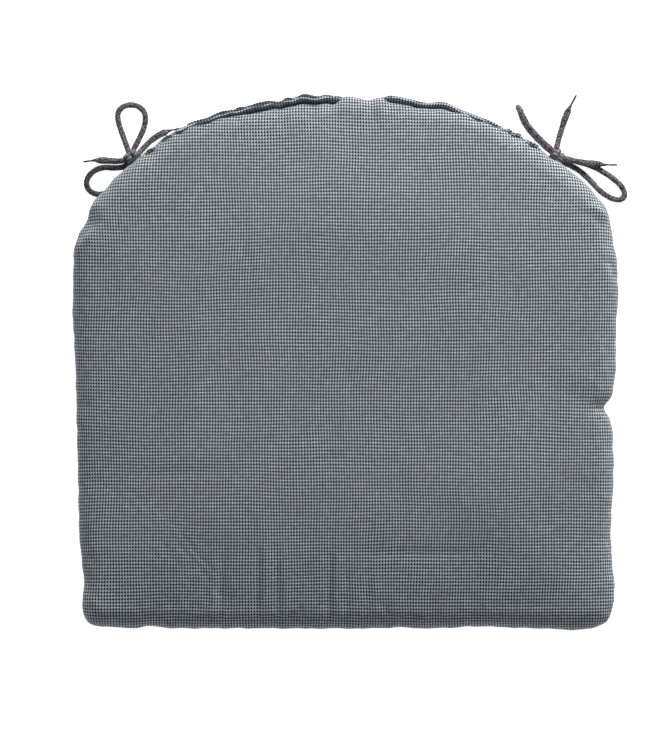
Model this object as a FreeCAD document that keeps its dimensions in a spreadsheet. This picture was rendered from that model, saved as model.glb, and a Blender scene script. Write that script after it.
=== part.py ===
import FreeCAD, Part

import math
import os

import Sketcher
from FreeCAD import Placement, Rotation, Vector

# Chair seat pad with a zipped, removable cover and two tied cord bows.
#
# Frame: millimetres, +Z up. The pad lies flat on its underside at Z = 0. The straight front edge is
# towards -Y, the arched back edge towards +Y, and the origin is under the middle of the pad.
#
# A bench would find, from the outside in: a top and a bottom cover panel sewn along their edge, a zip
# in the back edge between two folded facings, a fibre wadding wrap in two halves, and a foam core.
# Each tie is one braided cord, folded in half and sewn into the seam, so two strands leave it. They
# are tied in a bow: a knot, two loops and two tails, each tail drawn out to a thin sealed tip.

SIZES = {
    # the pad
    "pad_width": 508.0,
    "pad_depth": 498.0,
    "pad_thickness": 55.0,
    "edge_radius": 24.0,
    "seam_height": 27.5,
    # its outline: an arched back, a short blend, a straight diagonal, a round shoulder, a side
    "arch_radius": 420.0,
    "arch_half_angle": 20.0,
    "blend_radius": 90.0,
    "diagonal_angle": 37.0,
    "shoulder_radius": 98.0,
    "side_taper": 1.3,
    "corner_radius": 26.0,
    # layers, as insets from the outer face of the cover
    "fabric_thickness": 1.2,
    "wadding_outside": 1.4,
    "wadding_inside": 11.4,
    "foam_inset": 11.6,
    "seam_gap": 0.1,
    # the zip, in the arched back edge; depths are measured inwards from the cover's outer face
    "slot_half_height": 3.7,
    "slot_half_angle": 19.8,
    "pocket_half_height": 10.0,
    "pocket_half_angle": 21.5,
    "pocket_depth": 11.5,
    "facing_front": 1.7,
    "facing_back": 2.9,
    "facing_leg_low": 5.8,
    "facing_leg_high": 7.0,
    "facing_half_angle": 19.4,
    "coil_front": 7.0,
    "coil_back": 9.1,
    "coil_low": 0.7,
    "coil_high": 3.2,
    "coil_half_angle": 18.6,
    "tape_front": 9.2,
    "tape_back": 9.8,
    "tape_low": 0.9,
    "tape_high": 9.0,
    "tape_half_angle": 19.3,
    "stop_angle": 18.95,
    "stop_half_length": 1.2,
    # the zip slider and its pull tab, parked at the right end of the zip
    "slider_angle": 17.8,
    "slider_half_length": 5.0,
    "slider_half_width": 4.6,
    "plate_front": 5.4,
    "plate_back": 6.6,
    "inner_plate_front": 10.2,
    "inner_plate_back": 11.2,
    "flange_width": 1.0,
    "flange_back": 8.9,
    "post_half_width": 0.4,
    "bail_front": 2.7,
    "bail_back": 3.6,
    "bail_half_length": 3.5,
    "bail_half_width": 0.9,
    "bail_leg": 1.0,
    "pull_axis_depth": 4.5,
    "pull_bar_radius": 0.5,
    "pull_half_width": 3.0,
    "pull_arm_width": 1.5,
    "pull_arm_length": 4.4,
    "pull_plate_length": 14.0,
    "pull_thickness": 1.0,
    # the ties
    "cord_diameter": 5.0,
    "tip_diameter": 1.3,
    "tip_root_length": 2.5,
    "knot_half_length": 8.0,
    "knot_half_depth": 6.0,
    "knot_half_height": 7.6,
    "tie_anchor_x": 196.5,
    "tie_strand_spacing": 6.0,
    "bartack_length": 14.0,
    "bartack_depth": 2.0,
    "bartack_height": 3.0,
    "bartack_clearance": 0.15,
}

doc = FreeCAD.newDocument("seat_pad")
sheet = doc.addObject("Spreadsheet::Sheet", "Sizes")
for row, (alias, value) in enumerate(SIZES.items(), start=1):
    sheet.set(f"A{row}", alias)
    sheet.set(f"B{row}", str(value))
    sheet.setAlias(f"B{row}", alias)
doc.recompute()


def size(alias):
    """The value of one cell of the sheet."""
    return float(sheet.get(alias))


def bind(thing, prop, expression):
    """Binds a property to cells of the sheet; every alias in the expression is written with an @."""
    thing.setExpression(prop, expression.replace("@", "Sizes."))


def heading(angle):
    """The unit vector at this many degrees from +Y, turning towards +X."""
    turn = math.radians(angle)
    return Vector(math.sin(turn), math.cos(turn), 0)


# ---------------------------------------------------------------- the outline of the pad

ARCH_CENTRE = Vector(0, size("pad_depth") / 2 - size("arch_radius"), 0)


def outline_centres():
    """The centres of the right half's arcs: arch, blend, shoulder and front corner."""
    arch_radius, blend_radius = size("arch_radius"), size("blend_radius")
    shoulder_radius, corner_radius = size("shoulder_radius"), size("corner_radius")
    diagonal, taper = size("diagonal_angle"), math.radians(size("side_taper"))
    blend = ARCH_CENTRE + heading(size("arch_half_angle")) * (arch_radius - blend_radius)
    normal = heading(diagonal)
    on_diagonal = blend + normal * blend_radius
    shoulder_x = size("pad_width") / 2 - shoulder_radius
    across = normal.x * (shoulder_x - on_diagonal.x)
    shoulder_y = on_diagonal.y - (shoulder_radius + across) / normal.y
    corner_y = corner_radius - size("pad_depth") / 2
    lean = math.sin(taper) * (corner_y - shoulder_y)
    corner_x = shoulder_x + (shoulder_radius - corner_radius + lean) / math.cos(taper)
    return ARCH_CENTRE, blend, Vector(shoulder_x, shoulder_y, 0), Vector(corner_x, corner_y, 0)


ARCH, BLEND, SHOULDER, CORNER = outline_centres()


def draw_outline(sketch, inset_alias):
    """Draws the closed outline, taken in by the inset, and binds the radius of each of its arcs."""
    inset = size(inset_alias) if inset_alias else 0.0
    first, diagonal = size("arch_half_angle"), size("diagonal_angle")
    side = 90 + size("side_taper")
    right_arcs = [
        ("blend_radius", BLEND, first, diagonal),
        ("shoulder_radius", SHOULDER, diagonal, side),
        ("corner_radius", CORNER, side, 180),
    ]
    arcs = [("arch_radius", ARCH, -first, first)] + right_arcs
    for name, centre, start, end in reversed(right_arcs):
        arcs.append((name, Vector(-centre.x, centre.y, 0), -end, -start))
    ends = []
    for name, centre, start, end in arcs:
        radius = size(name) - inset
        circle = Part.Circle(centre, Vector(0, 0, 1), radius)
        arc = Part.ArcOfCircle(circle, math.radians(90 - end), math.radians(90 - start))
        index = sketch.addGeometry(arc, False)
        sketch.addConstraint(Sketcher.Constraint("Radius", index, radius))
        less = f" - @{inset_alias}" if inset_alias else ""
        bind(sketch, f"Constraints[{sketch.ConstraintCount - 1}]", f"@{name}{less}")
        ends.append((index, centre + heading(start) * radius, centre + heading(end) * radius))
    for before, after in zip(ends, ends[1:] + ends[:1]):
        if before[2].distanceToPoint(after[1]) < 1e-6:
            sketch.addConstraint(Sketcher.Constraint("Coincident", before[0], 1, after[0], 2))
            continue
        line = sketch.addGeometry(Part.LineSegment(before[2], after[1]), False)
        sketch.addConstraint(Sketcher.Constraint("Coincident", before[0], 1, line, 1))
        sketch.addConstraint(Sketcher.Constraint("Coincident", line, 2, after[0], 2))


def origin_plane(body, role):
    return next(plane for plane in body.Origin.OriginFeatures if plane.Role == role)


def soft_blank(name, inset_alias=None):
    """The pad's whole rounded form, taken in by an inset on every side."""
    less = f" - @{inset_alias}" if inset_alias else ""
    body = doc.addObject("PartDesign::Body", name)
    sketch = body.newObject("Sketcher::SketchObject", name + "_outline")
    sketch.AttachmentSupport = (origin_plane(body, "XY_Plane"), [""])
    sketch.MapMode = "FlatFace"
    if inset_alias:
        bind(sketch, "AttachmentOffset.Base.z", f"@{inset_alias}")
    draw_outline(sketch, inset_alias)
    pad = body.newObject("PartDesign::Pad", name + "_slab")
    pad.Profile = sketch
    bind(pad, "Length", f"@pad_thickness{less.replace('- ', '- 2 * ')}")
    doc.recompute()
    rims = []
    for number, edge in enumerate(pad.Shape.Edges, start=1):
        if abs(edge.Vertexes[0].Z - edge.Vertexes[-1].Z) < 1e-6:
            rims.append(f"Edge{number}")
    fillet = body.newObject("PartDesign::Fillet", name + "_edge")
    fillet.Base = (pad, rims)
    bind(fillet, "Radius", f"@edge_radius{less}")
    doc.recompute()
    return body


# ---------------------------------------------------------------- helpers for solids

def labelled(feature, label):
    feature.Label = label
    return feature


def boolean(kind, name, base, tool):
    """A Part::Cut, Part::Common or Part::Fuse of two objects."""
    feature = doc.addObject(kind, name)
    if kind == "Part::Cut":
        feature.Base, feature.Tool = base, tool
    else:
        feature.Shapes = [base, tool]
    return feature


def half_space(name, low, high):
    """A block that covers the whole pad between two heights, each an expression."""
    block = doc.addObject("Part::Box", name)
    bind(block, "Length", "@pad_width * 2")
    bind(block, "Width", "@pad_depth * 2")
    bind(block, "Height", f"({high}) - ({low})")
    bind(block, "Placement.Base.x", "-@pad_width")
    bind(block, "Placement.Base.y", "-@pad_depth")
    bind(block, "Placement.Base.z", low)
    return block


def arc_block(name, front, back, low, high, half_angle, middle="0"):
    """A ring segment about the arch's centre: depths in from the cover's face, heights from the seam.

    All arguments but the name are expressions. The segment reaches half_angle degrees each way from
    its middle, which is measured from +Y towards +X.
    """
    cylinders = []
    for part, depth in (("outer", front), ("inner", back)):
        cylinder = doc.addObject("Part::Cylinder", f"{name}_{part}")
        bind(cylinder, "Radius", f"@arch_radius - ({depth})")
        bind(cylinder, "Height", f"({high}) - ({low})")
        cylinder.Placement = Placement(ARCH_CENTRE, Rotation())
        bind(cylinder, "Placement.Base.y", "@pad_depth / 2 - @arch_radius")
        bind(cylinder, "Placement.Base.z", f"@seam_height + ({low})")
        cylinders.append(cylinder)
    bind(cylinders[0], "Angle", f"2 * ({half_angle})")
    bind(cylinders[0], "Placement.Rotation.Angle", f"90 - ({half_angle}) - ({middle})")
    return boolean("Part::Cut", name, cylinders[0], cylinders[1])


def fused(name, features):
    fuse = doc.addObject("Part::MultiFuse", name)
    fuse.Shapes = features
    return fuse


# ---------------------------------------------------------------- cover, wadding and foam

outer_form = soft_blank("outer_form")
cover_inside = soft_blank("cover_inside", "fabric_thickness")
wadding_form = soft_blank("wadding_form", "wadding_outside")
wadding_hollow = soft_blank("wadding_hollow", "wadding_inside")
foam_core = labelled(soft_blank("foam_body", "foam_inset"), "foam_core")

above_seam = half_space("above_seam", "@seam_height + @seam_gap", "@pad_thickness + 1")
below_seam = half_space("below_seam", "-1", "@seam_height - @seam_gap")
zip_slot = arc_block(
    "zip_slot", "-2", "@fabric_thickness + 2", "-@slot_half_height", "@slot_half_height",
    "@slot_half_angle",
)
zip_pocket = arc_block(
    "zip_pocket", "-2", "@pocket_depth", "-@pocket_half_height", "@pocket_half_height",
    "@pocket_half_angle",
)


def layer_half(label, form, hollow, side, opening):
    """One half of a layer round the foam: the form less its hollow, on one side of the seam."""
    shell = boolean("Part::Cut", label + "_shell", form, hollow)
    opened = boolean("Part::Cut", label + "_opened", shell, opening)
    return labelled(boolean("Part::MultiCommon", label + "_half", opened, side), label)


soft_parts = [foam_core]
for half, side in (("top", above_seam), ("bottom", below_seam)):
    soft_parts.append(layer_half(f"cover_{half}_panel", outer_form, cover_inside, side, zip_slot))
    soft_parts.append(layer_half(f"wadding_{half}", wadding_form, wadding_hollow, side, zip_pocket))


# ---------------------------------------------------------------- the zip

def mirrored_heights(low, high, upper):
    """The height range above the seam, or its mirror image below it."""
    return (low, high) if upper else (f"-({high})", f"-({low})")


def zip_side(upper):
    """The facing, the tape and the coil of the upper or lower side of the zip."""
    word = "upper" if upper else "lower"
    fold = arc_block(
        f"facing_{word}_fold", "@facing_front", "@facing_back",
        *mirrored_heights("@slot_half_height", "@facing_leg_high", upper), "@facing_half_angle",
    )
    leg = arc_block(
        f"facing_{word}_leg", "@facing_back - 0.5", "@coil_back",
        *mirrored_heights("@facing_leg_low", "@facing_leg_high", upper), "@facing_half_angle",
    )
    facing = labelled(fused(f"facing_{word}", [fold, leg]), f"zip_facing_{word}")
    tape = arc_block(
        f"tape_{word}", "@tape_front", "@tape_back",
        *mirrored_heights("@tape_low", "@tape_high", upper), "@tape_half_angle",
    )
    coil = arc_block(
        f"coil_{word}", "@coil_front", "@coil_back",
        *mirrored_heights("@coil_low", "@coil_high", upper), "@coil_half_angle",
    )
    return [facing, labelled(tape, f"zip_tape_{word}"), labelled(coil, f"zip_coil_{word}")]


def along_arch(length_alias):
    """The half angle, as an expression, that a half length along the zip spans."""
    return f"{length_alias} / @arch_radius * 180 / pi"


STOP_SPAN = along_arch("@stop_half_length")


def zip_stops():
    """Two crimped stops past the closed end of the coils, and one across both at the other end."""
    closed_end = []
    for upper in (True, False):
        closed_end.append(arc_block(
            f"top_stop_{'upper' if upper else 'lower'}", "@coil_front", "@coil_back",
            *mirrored_heights("@coil_low", "@coil_high", upper), STOP_SPAN, "@stop_angle",
        ))
    pair = doc.addObject("Part::Compound", "top_stop_pair")
    pair.Links = closed_end
    open_end = arc_block(
        "bottom_stop", "@coil_front", "@coil_back", "-@coil_high", "@coil_high", STOP_SPAN,
        "-@stop_angle",
    )
    return [labelled(pair, "zip_top_stops"), labelled(open_end, "zip_bottom_stop")]


def zip_slider():
    """Two plates joined by a post between the coils, with flanges and a bail for the pull tab."""
    span, middle = along_arch("@slider_half_length"), "@slider_angle"
    plate = arc_block(
        "slider_plate", "@plate_front", "@plate_back", "-@slider_half_width", "@slider_half_width",
        span, middle,
    )
    inner = arc_block(
        "slider_inner_plate", "@inner_plate_front", "@inner_plate_back", "-@slider_half_width",
        "@slider_half_width", span, middle,
    )
    post = arc_block(
        "slider_post", "@plate_back - 0.3", "@inner_plate_front + 0.3", "-@post_half_width",
        "@post_half_width", along_arch("@slider_half_length / 2"), middle,
    )
    pieces = [plate, inner, post]
    for upper in (True, False):
        word = "upper" if upper else "lower"
        pieces.append(arc_block(
            f"slider_flange_{word}", "@plate_back - 0.3", "@flange_back",
            *mirrored_heights("@slider_half_width - @flange_width", "@slider_half_width", upper),
            span, middle,
        ))
    bridge = arc_block(
        "slider_bail_bridge", "@bail_front", "@bail_back", "-@bail_half_width", "@bail_half_width",
        along_arch("@bail_half_length"), middle,
    )
    pieces.append(bridge)
    for word, sign in (("left", "-"), ("right", "+")):
        leg_offset = along_arch("(@bail_half_length - @bail_leg / 2)")
        pieces.append(arc_block(
            f"slider_bail_leg_{word}", "@bail_back - 0.3", "@plate_front + 0.3",
            "-@bail_half_width", "@bail_half_width", along_arch("@bail_leg / 2"),
            f"@slider_angle {sign} {leg_offset}",
        ))
    return labelled(fused("slider", pieces), "zip_slider")


def slider_spot(depth):
    """The point on the zip's path where the slider is parked, at this depth, at seam height."""
    place = ARCH_CENTRE + heading(size("slider_angle")) * (size("arch_radius") - depth)
    return place + Vector(0, 0, size("seam_height"))


def pull_tab():
    """A flat tab on two arms, hung on a crossbar under the slider's bail, lying towards the left."""
    along = Rotation(Vector(0, 0, 1), 180 - size("slider_angle"))
    axis = slider_spot(size("pull_axis_depth"))
    bar = doc.addObject("Part::Cylinder", "pull_bar")
    bind(bar, "Radius", "@pull_bar_radius")
    bind(bar, "Height", "2 * @pull_half_width")
    bar.Placement = Placement(axis - Vector(0, 0, size("pull_half_width")), Rotation())
    arm_length, top_arm = size("pull_arm_length"), 2 * size("pull_half_width") - size("pull_arm_width")
    blocks = [
        ("pull_plate", "@pull_plate_length", "2 * @pull_half_width", arm_length, 0),
        ("pull_arm_low", "@pull_arm_length + 1", "@pull_arm_width", 0, 0),
        ("pull_arm_high", "@pull_arm_length + 1", "@pull_arm_width", 0, top_arm),
    ]
    pieces = [bar]
    for name, length, height, ahead, up in blocks:
        block = doc.addObject("Part::Box", name)
        bind(block, "Length", length)
        bind(block, "Width", "@pull_thickness")
        bind(block, "Height", height)
        corner = Vector(ahead, -size("pull_thickness") / 2, up - size("pull_half_width"))
        block.Placement = Placement(axis + along.multVec(corner), along)
        pieces.append(block)
    return labelled(fused("pull", pieces), "zip_pull_tab")


zip_parts = zip_side(True) + zip_side(False) + zip_stops() + [zip_slider(), pull_tab()]


# ---------------------------------------------------------------- the ties

CORD_RADIUS = size("cord_diameter") / 2
RUN_SHARE = 0.45  # how much of a run an arc beside it may take up

# Each route is a list of points chosen by hand: the centre of the cord, in millimetres. The loops
# and tails lie on whatever the pad lies on, and the knots rest against its back edge.
TIES = {
    "left_tie_1": {
        "loop": [
            (-201.5, 192, 12), (-202.8, 198, 8.5), (-207.5, 211, 3.2), (-212, 223.5, 2.6),
            (-213.5, 234, 2.6), (-206.5, 241, 2.6), (-194.5, 241, 2.6), (-186.5, 233.5, 2.6),
            (-187, 222, 2.6), (-192, 210.5, 2.6), (-198, 199.5, 3), (-199.5, 193, 4.5),
        ],
        "tail": [(-205, 189, 10), (-213, 187.8, 4.5), (-224, 189.1, 3.1), (-234.8, 189, 3)],
        "tip": (-245.3, 187.7, 1.5),
    },
    "left_tie_2": {
        "loop": [
            (-205, 183, 8.5), (-215, 181.6, 3), (-226, 182.8, 2.6), (-236, 179.3, 2.6),
            (-243, 170.5, 2.6), (-240.5, 160.5, 2.6), (-231, 156.3, 2.6), (-221.5, 159.5, 2.6),
            (-213, 168, 2.6), (-206.5, 175, 2.8), (-202, 182, 3.2),
        ],
        "tail": [
            (-196, 192, 9), (-190, 199, 4.8), (-181.5, 208, 3.1), (-173, 213.8, 3),
            (-164.4, 216.8, 3),
        ],
        "tip": (-153.5, 219.2, 1.8),
    },
    "right_tie_1": {
        "loop": [
            (193.5, 196.5, 6.5), (186, 203.5, 3.2), (177, 212.2, 2.6), (169.5, 221.5, 2.6),
            (165.8, 229.5, 2.6), (163.7, 236.4, 2.6), (161.6, 239.2, 8.7), (163.2, 236.8, 14.7),
            (166.5, 230, 15), (170.5, 221.8, 14.5), (178, 213.2, 13.5), (187, 204.2, 13),
            (194.5, 197.8, 12.8),
        ],
        "tail": [
            (201.5, 191.5, 12.5), (211, 189.3, 10.6), (221.5, 187, 8.6), (232.5, 185.7, 8.2),
            (242.5, 184.8, 5.8),
        ],
        "tip": (255.5, 184.7, 2.2),
    },
    "right_tie_2": {
        "loop": [
            (202.5, 187, 6), (212, 184, 3.2), (221, 178.5, 2.6), (230.5, 169.5, 2.6),
            (239.5, 159.5, 2.6), (250, 153, 2.6), (258.5, 151.5, 2.6), (263, 156.5, 2.6),
            (260, 164, 2.6), (254, 170, 2.6), (246.5, 175.5, 2.6), (237.5, 181, 2.6),
            (227.5, 185.2, 2.7), (216, 188.2, 3.2), (206.5, 190.5, 4.5),
        ],
        "tail": [
            (197.5, 197.5, 8), (200, 208, 4.5), (203.5, 219.5, 3.1), (206.5, 229.5, 3),
            (210.8, 239, 3),
        ],
        "tip": (217, 250.3, 1.6),
    },
}
KNOTS = {"left": Vector(-200.8, 188.9, 8.3), "right": Vector(197.8, 193.5, 8.3)}


def route_edges(name, points):
    """Straight runs between the points, joined by tangent arcs, with the radii printed."""
    corners = [Vector(*point) for point in points]
    here, edges, radii = corners[0], [], []
    for before, corner, after in zip(corners, corners[1:], corners[2:]):
        back, forward = (before - corner), (after - corner)
        shorter = min(back.Length, forward.Length)
        back.normalize()
        forward.normalize()
        half_turn = (math.pi - back.getAngle(forward)) / 2
        setback = RUN_SHARE * shorter
        radius = setback / math.tan(half_turn)
        enter, leave = corner + back * setback, corner + forward * setback
        inward = back + forward
        inward.normalize()
        centre = corner + inward * (radius / math.cos(half_turn))
        middle = centre - inward * radius
        edges.append(Part.LineSegment(here, enter).toShape())
        edges.append(Part.Arc(enter, middle, leave).toShape())
        radii.append(round(radius, 1))
        here = leave
    edges.append(Part.LineSegment(here, corners[-1]).toShape())
    print(f"{name}: smallest bend radius {min(radii)} mm, all {radii}")
    return edges


def cord_tube(name, points):
    """A plain round tube along the route, its volume compared with section times length."""
    path = Part.Wire(route_edges(name, points))
    first = path.OrderedEdges[0]
    start = first.valueAt(first.FirstParameter)
    section = Part.Wire(Part.makeCircle(CORD_RADIUS, start, first.tangentAt(first.FirstParameter)))
    shape = path.makePipeShell([section], True, True)
    expected = math.pi * CORD_RADIUS**2 * path.Length
    print(f"{name}: length {path.Length:.1f} mm, volume {shape.Volume / expected:.4f} of expected")
    tube = doc.addObject("Part::Feature", name + "_solid")
    tube.Shape = shape
    return labelled(tube, name)


def cord_tip(name, start, end):
    """The end of a tail: the braid draws in to a thin sealed spike."""
    direction = Vector(*end) - Vector(*start)
    turn = Rotation(Vector(0, 0, 1), direction)
    root = doc.addObject("Part::Cone", name + "_root")
    bind(root, "Radius1", "@cord_diameter / 2")
    bind(root, "Radius2", "@tip_diameter / 2")
    bind(root, "Height", "@tip_root_length")
    root.Placement = Placement(Vector(*start), turn)
    spike = doc.addObject("Part::Cylinder", name + "_spike")
    bind(spike, "Radius", "@tip_diameter / 2")
    spike.Height = direction.Length
    spike.Placement = Placement(Vector(*start), turn)
    return labelled(fused(name + "_joined", [root, spike]), name)


def anchor(side):
    """The middle of a tie's stitching on the seam: side is -1 for the left tie, 1 for the right."""
    normal = heading(size("diagonal_angle"))
    on_diagonal = BLEND + normal * size("blend_radius")
    down = (size("tie_anchor_x") - on_diagonal.x) * normal.x / normal.y
    return Vector(side * size("tie_anchor_x"), on_diagonal.y - down, size("seam_height"))


def outwards(side):
    normal = heading(size("diagonal_angle"))
    return Vector(side * normal.x, normal.y, 0)


def stem_route(side, strand):
    """One strand from the stitching, out and down the edge of the pad, into the knot."""
    out = outwards(side)
    along = Vector(out.y, -out.x, 0)
    start = anchor(side) + along * (strand * size("tie_strand_spacing") / 2)
    face = size("bartack_clearance") + size("bartack_depth")
    steps = [(face, 0), (face + 3.5, -1), (face + 5, -6), (face + 4.5, -11.5), (face + 3, -16)]
    return [tuple(start + out * distance + Vector(0, 0, drop)) for distance, drop in steps]


def knot(word, side):
    """The outer shape of a bow's knot, its long side along the edge of the pad."""
    shape = doc.addObject("Part::Ellipsoid", word + "_knot_form")
    bind(shape, "Radius1", "@knot_half_height")
    bind(shape, "Radius2", "@knot_half_length")
    bind(shape, "Radius3", "@knot_half_depth")
    turn = Rotation(Vector(0, 0, 1), -side * size("diagonal_angle"))
    shape.Placement = Placement(KNOTS[word], turn)
    return labelled(shape, word + "_bow_knot")


def bartack(word, side):
    """The dense stitching that holds both strands in the seam."""
    block = doc.addObject("Part::Box", word + "_stitching")
    bind(block, "Length", "@bartack_length")
    bind(block, "Width", "@bartack_depth")
    bind(block, "Height", "@bartack_height")
    turn = Rotation(Vector(0, 0, 1), -side * size("diagonal_angle"))
    shift = Vector(-size("bartack_length") / 2, size("bartack_clearance"), -size("bartack_height") / 2)
    block.Placement = Placement(anchor(side) + turn.multVec(shift), turn)
    return labelled(block, word + "_tie_bartack")


tie_parts = []
for word, side in (("left", -1), ("right", 1)):
    tie_parts += [knot(word, side), bartack(word, side)]
    for strand, offset in ((1, -1), (2, 1)):
        name = f"{word}_tie_{strand}"
        route = TIES[name]
        tie_parts.append(cord_tube(name + "_stem", stem_route(side, offset)))
        tie_parts.append(cord_tube(name + "_loop", route["loop"]))
        tie_parts.append(cord_tube(name + "_tail", route["tail"]))
        tie_parts.append(cord_tip(name + "_tip", route["tail"][-1], route["tip"]))


# ---------------------------------------------------------------- check and write

doc.recompute()
for item in doc.Objects:
    if "Invalid" in item.State or "Error" in item.State:
        raise RuntimeError(f"{item.Name} failed: {item.State}")

os.makedirs("parts", exist_ok=True)
for part in soft_parts + zip_parts + tie_parts:
    shape = part.Shape
    if shape.isNull() or not shape.isValid() or not shape.Solids:
        raise RuntimeError(f"{part.Label} has no valid solid")
    shape.exportStep(os.path.join("parts", part.Label + ".step"))
    print(f"{part.Label}: {len(shape.Solids)} solid(s), {shape.Volume:.0f} mm3")
print(f"slider axis: {ARCH_CENTRE}, pull axis: {slider_spot(size('pull_axis_depth'))}")
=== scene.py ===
import math

import bpy
import numpy as np
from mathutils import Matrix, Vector, geometry, noise


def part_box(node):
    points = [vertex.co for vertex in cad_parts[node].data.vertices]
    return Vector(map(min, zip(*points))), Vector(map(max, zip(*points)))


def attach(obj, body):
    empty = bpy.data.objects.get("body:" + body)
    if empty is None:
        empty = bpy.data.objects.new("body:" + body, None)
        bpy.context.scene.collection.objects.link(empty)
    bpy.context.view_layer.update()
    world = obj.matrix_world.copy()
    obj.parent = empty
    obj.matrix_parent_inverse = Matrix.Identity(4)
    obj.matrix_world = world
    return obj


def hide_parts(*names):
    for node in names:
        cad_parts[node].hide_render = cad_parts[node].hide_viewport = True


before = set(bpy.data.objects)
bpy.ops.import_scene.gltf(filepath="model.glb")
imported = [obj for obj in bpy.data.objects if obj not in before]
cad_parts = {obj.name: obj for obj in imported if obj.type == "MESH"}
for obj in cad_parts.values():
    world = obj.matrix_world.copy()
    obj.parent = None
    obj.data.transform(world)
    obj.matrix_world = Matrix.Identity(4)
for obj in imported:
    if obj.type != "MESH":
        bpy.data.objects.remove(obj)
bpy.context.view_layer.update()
MM = 0.001
ROOT = "pad"

# Chair seat pad: a woven cover over foam, a zip between two puckered lips in its arched back edge,
# and two braided ties in bows. Every length is in millimetres until a mesh is made from it, and the
# frame is the CAD model's: +Z up, the front edge towards -Y, the origin under the middle.


# ---- camera, light and floor

CAMERA_SPOT = (-21.0, -8.4)  # where the camera's axis meets the pad
FRAME_HEIGHT = 693.0  # how much of the pad's plane the picture's height takes in
SENSOR, LENS = 36.0, 300.0
PAD_MIDDLE = 22.0  # the height the camera's distance is measured from


def make_camera():
    data = bpy.data.cameras.new("camera")
    data.sensor_width = SENSOR
    data.lens = LENS
    camera = bpy.data.objects.new("camera", data)
    camera.location = Vector((*CAMERA_SPOT, FRAME_HEIGHT * LENS / SENSOR + PAD_MIDDLE)) * MM
    bpy.context.scene.collection.objects.link(camera)
    bpy.context.scene.camera = camera


def area_light(name, place, size, power, colour):
    """A round light that faces the middle of the pad, its place and size in metres."""
    data = bpy.data.lights.new(name, "AREA")
    data.shape = "DISK"
    data.size = size
    data.energy = power
    data.color = colour
    light = bpy.data.objects.new(name, data)
    light.location = place
    light.rotation_euler = (-Vector(place)).to_track_quat("-Z", "Y").to_euler()
    bpy.context.scene.collection.objects.link(light)


def make_light():
    area_light("key", (0.72, 2.12, 1.08), 0.9, 68.0, (1.0, 0.985, 0.97))
    area_light("fill", (-0.5, -0.9, 1.6), 1.4, 1.5, (0.95, 0.98, 1.0))
    world = bpy.data.worlds.new("studio")
    world.use_nodes = True
    background = world.node_tree.nodes["Background"]
    background.inputs["Color"].default_value = (0.93, 0.96, 1.0, 1.0)
    background.inputs["Strength"].default_value = 0.16
    bpy.context.scene.world = world
    bpy.context.scene.view_settings.view_transform = "Standard"


# ---- material building blocks


class Signal:
    """What a shader node puts out. Sums and products of signals and numbers add maths nodes."""

    def __init__(self, tree, socket):
        self.tree, self.socket = tree, socket

    def do(self, operation, other=None):
        """An operation of the maths node, or of the vector maths node when other is a tuple."""
        kind = "VectorMath" if isinstance(other, tuple) else "Math"
        return self.tree.node(kind, (self, other), operation=operation)[0]

    def __add__(self, other):
        return self.do("ADD", other)

    def __sub__(self, other):
        return self.do("SUBTRACT", other)

    def __mul__(self, other):
        return self.do("MULTIPLY", other)

    def __truediv__(self, other):
        return self.do("DIVIDE", other)

    def ramp(self, low, high, to_low=0.0, to_high=1.0, smooth=True):
        """to_low at low and to_high at high; low may be the larger."""
        shape = "SMOOTHSTEP" if smooth else "LINEAR"
        return self.tree.node("MapRange", (self, low, high, to_low, to_high), interpolation_type=shape)[0]


class Tree:
    """Short ways to add shader nodes to one material."""

    def __init__(self, name):
        self.material = bpy.data.materials.new(name)
        self.material.use_nodes = True
        self.nodes = self.material.node_tree.nodes
        self.links = self.material.node_tree.links
        self.shader = self.nodes["Principled BSDF"]

    def feed(self, socket, value):
        if isinstance(value, Signal):
            self.links.new(value.socket, socket)
        elif value is not None:
            socket.default_value = value

    def node(self, kind, values=(), **settings):
        """Adds a node. Values go to its inputs in order, or by name; its outputs come back."""
        node = self.nodes.new("ShaderNode" + kind)
        for name, setting in settings.items():
            setattr(node, name, setting)
        named = values.items() if isinstance(values, dict) else enumerate(values)
        for name, value in named:
            self.feed(node.inputs[name], value)
        return [Signal(self, socket) for socket in node.outputs]

    def split(self, vector):
        return self.node("SeparateXYZ", (vector,))

    def join(self, x, y, z=0.0):
        return self.node("CombineXYZ", (x, y, z))[0]

    def place(self):
        """Where the shaded point is on its object, in metres."""
        object_coordinates = 3
        return self.node("TexCoord")[object_coordinates]

    def uv(self, name):
        return self.node("UVMap", uv_map=name)[0]

    def noise(self, vector, scale, detail=2.0, roughness=0.5):
        values = {"Vector": vector, "Scale": scale, "Detail": detail, "Roughness": roughness}
        return self.node("TexNoise", values)[0]

    def cells(self, vector, scale):
        """How far the nearest of many scattered points is."""
        return self.node("TexVoronoi", {"Vector": vector, "Scale": scale})[0]

    def chance(self, vector):
        return self.node("TexWhiteNoise", {"Vector": vector})[0]

    def mix(self, share, first, second, blend="MIX"):
        """From the first colour to the second, as share goes from 0 to 1."""
        node = self.nodes.new("ShaderNodeMix")
        node.data_type = "RGBA"
        node.blend_type = blend
        self.feed(node.inputs["Factor"], share)
        colours = [socket for socket in node.inputs if socket.type == "RGBA"]
        for socket, value in zip(colours, (first, second)):
            self.feed(socket, (*value, 1.0) if isinstance(value, tuple) else value)
        return Signal(self, next(socket for socket in node.outputs if socket.type == "RGBA"))

    def finish(self, colour, rough, height=None, depth=0.0, strength=1.0, **more):
        """Sets the shader, with relief this deep in millimetres, and returns the material."""
        if height is not None:
            values = {"Strength": strength, "Distance": depth * MM, "Height": height}
            more["Normal"] = self.node("Bump", values)[0]
        for name, value in {"Base_Color": colour, "Roughness": rough, **more}.items():
            self.feed(self.shader.inputs[name.replace("_", " ")], value)
        return self.material


# ---- the cover's fabric

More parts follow.
